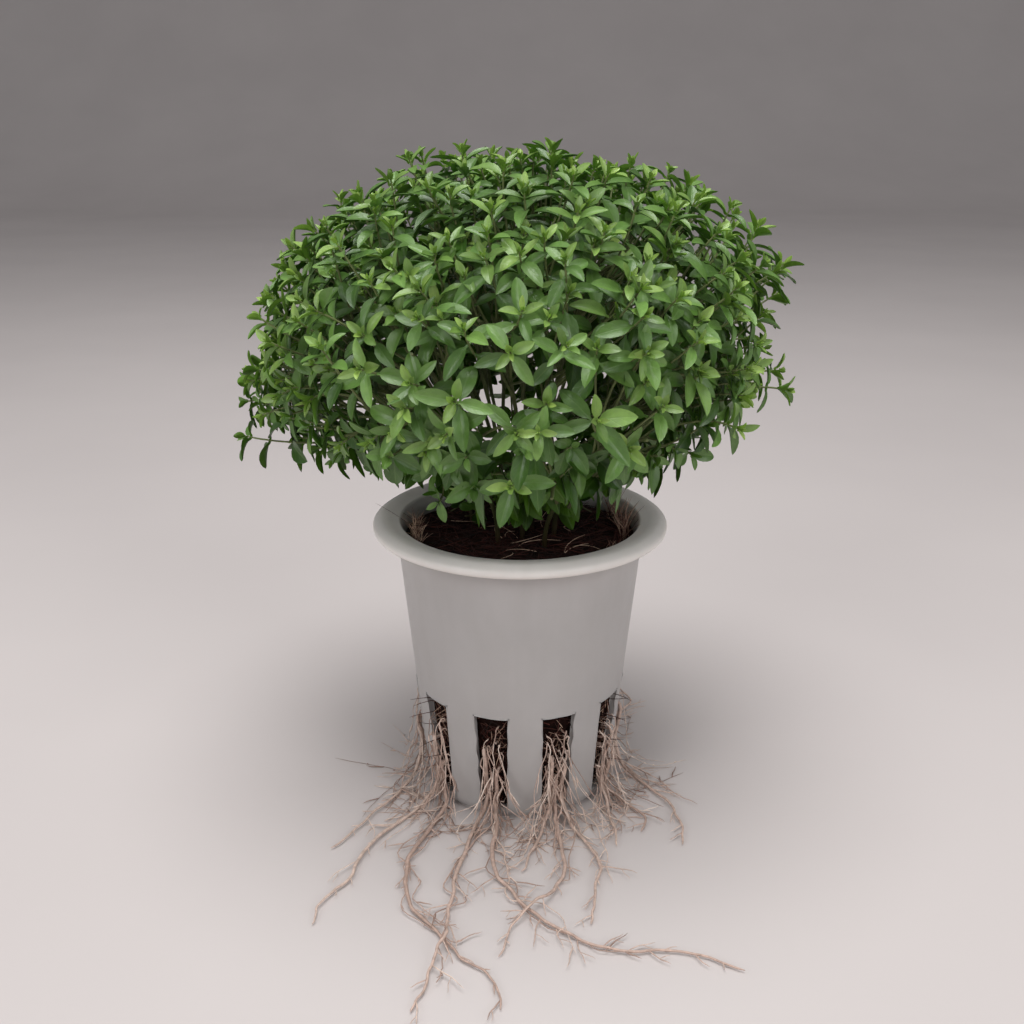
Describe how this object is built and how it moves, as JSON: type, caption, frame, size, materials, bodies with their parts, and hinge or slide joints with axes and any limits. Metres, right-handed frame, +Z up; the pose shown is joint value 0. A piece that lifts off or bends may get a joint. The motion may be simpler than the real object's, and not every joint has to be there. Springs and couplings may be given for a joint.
{
  "type": "potted basil plant in a net pot",
  "caption": "Dense globe of small-leaved basil in a white slotted net pot, with coir and pale roots trailing from the slots.",
  "frame": {"origin": "centre of the pot's underside, on the surface it stands on", "axes": "+Z up along the pot's axis; the front, with the longest trailing roots, faces -Y"},
  "size_m": [0.1016, 0.1263, 0.1345],
  "materials": {
    "pot_plastic": "smooth satin white moulded plastic",
    "coir": "damp dark brown coconut fibre",
    "stem": "pale green square herb stem",
    "leaf": "soft satin green leaf, paler beneath",
    "root": "matte pale beige root"
  },
  "bodies": {
    "root": {"net_pot": "pot_plastic", "coir_plug": "coir", "stem_01": "stem", "stem_02": "stem", "stem_03": "stem", "stem_04": "stem", "stem_05": "stem", "stem_06": "stem", "stem_07": "stem", "stem_08": "stem", "stem_09": "stem", "stem_10": "stem", "stem_11": "stem", "shoot_01_a": "leaf", "shoot_01_b": "leaf", "shoot_01_c": "leaf", "shoot_02_a": "leaf", "shoot_02_b": "leaf", "shoot_02_c": "leaf", "shoot_03_a": "leaf", "shoot_03_b": "leaf", "shoot_03_c": "leaf", "shoot_04_a": "leaf", "shoot_04_b": "leaf", "shoot_04_c": "leaf", "shoot_05_a": "leaf", "shoot_05_b": "leaf", "shoot_05_c": "leaf", "shoot_06_a": "leaf", "shoot_06_b": "leaf", "shoot_06_c": "leaf", "shoot_07_a": "leaf", "shoot_07_b": "leaf", "shoot_07_c": "leaf", "shoot_08_a": "leaf", "shoot_08_b": "leaf", "shoot_08_c": "leaf", "shoot_09_a": "leaf", "shoot_09_b": "leaf", "shoot_09_c": "leaf", "shoot_10_a": "leaf", "shoot_10_b": "leaf", "shoot_10_c": "leaf", "shoot_11_a": "leaf", "shoot_11_b": "leaf", "shoot_11_c": "leaf", "root_01": "root", "root_02": "root", "root_03": "root", "root_04": "root", "root_05": "root", "root_06": "root", "root_07": "root", "root_08": "root", "root_09": "root", "root_10": "root", "root_11": "root", "root_12": "root", "root_13": "root", "root_14": "root"}
  },
  "joints": []
}
